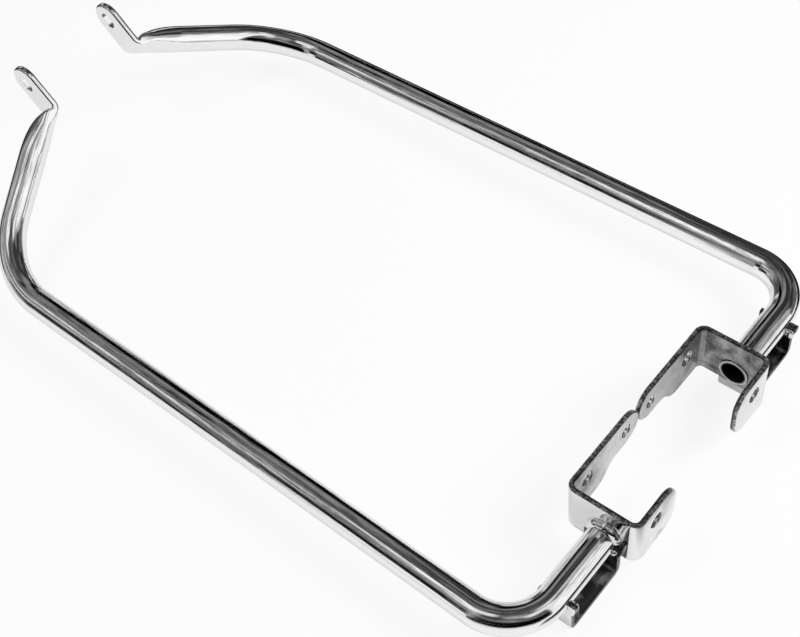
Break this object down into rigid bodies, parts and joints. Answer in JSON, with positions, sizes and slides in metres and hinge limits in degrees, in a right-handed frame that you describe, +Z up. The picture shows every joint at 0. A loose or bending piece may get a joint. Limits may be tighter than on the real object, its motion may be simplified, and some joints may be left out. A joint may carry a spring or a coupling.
{
  "type": "pannier frame",
  "caption": "Left and right side rails for a motorbike's saddlebags: chromed bent tubes with slotted flat front tabs, and bent plate brackets with strap clips welded at the rear.",
  "frame": {"origin": "middle of the base of the pair's bounding box: halfway between the two halves, on the ground plane under the clips", "axes": "+X to the motorbike's right, +Y forward towards the slotted tabs, +Z up; the long sides of both tubes lie level"},
  "size_m": [0.3784, 0.6274, 0.1204],
  "materials": {
    "tube_chrome": "mirror-bright chrome plate on round steel tube",
    "plate_chrome": "chrome plate over lightly brushed steel plate, satin inside the bends",
    "weld_chrome": "chromed, lumpy weld bead"
  },
  "bodies": {
    "root": {"left_tube": "tube_chrome", "left_bracket": "plate_chrome", "left_clip": "plate_chrome", "left_welds": "weld_chrome", "right_tube": "tube_chrome", "right_bracket": "plate_chrome", "right_clip": "plate_chrome", "right_welds": "weld_chrome"}
  },
  "joints": []
}
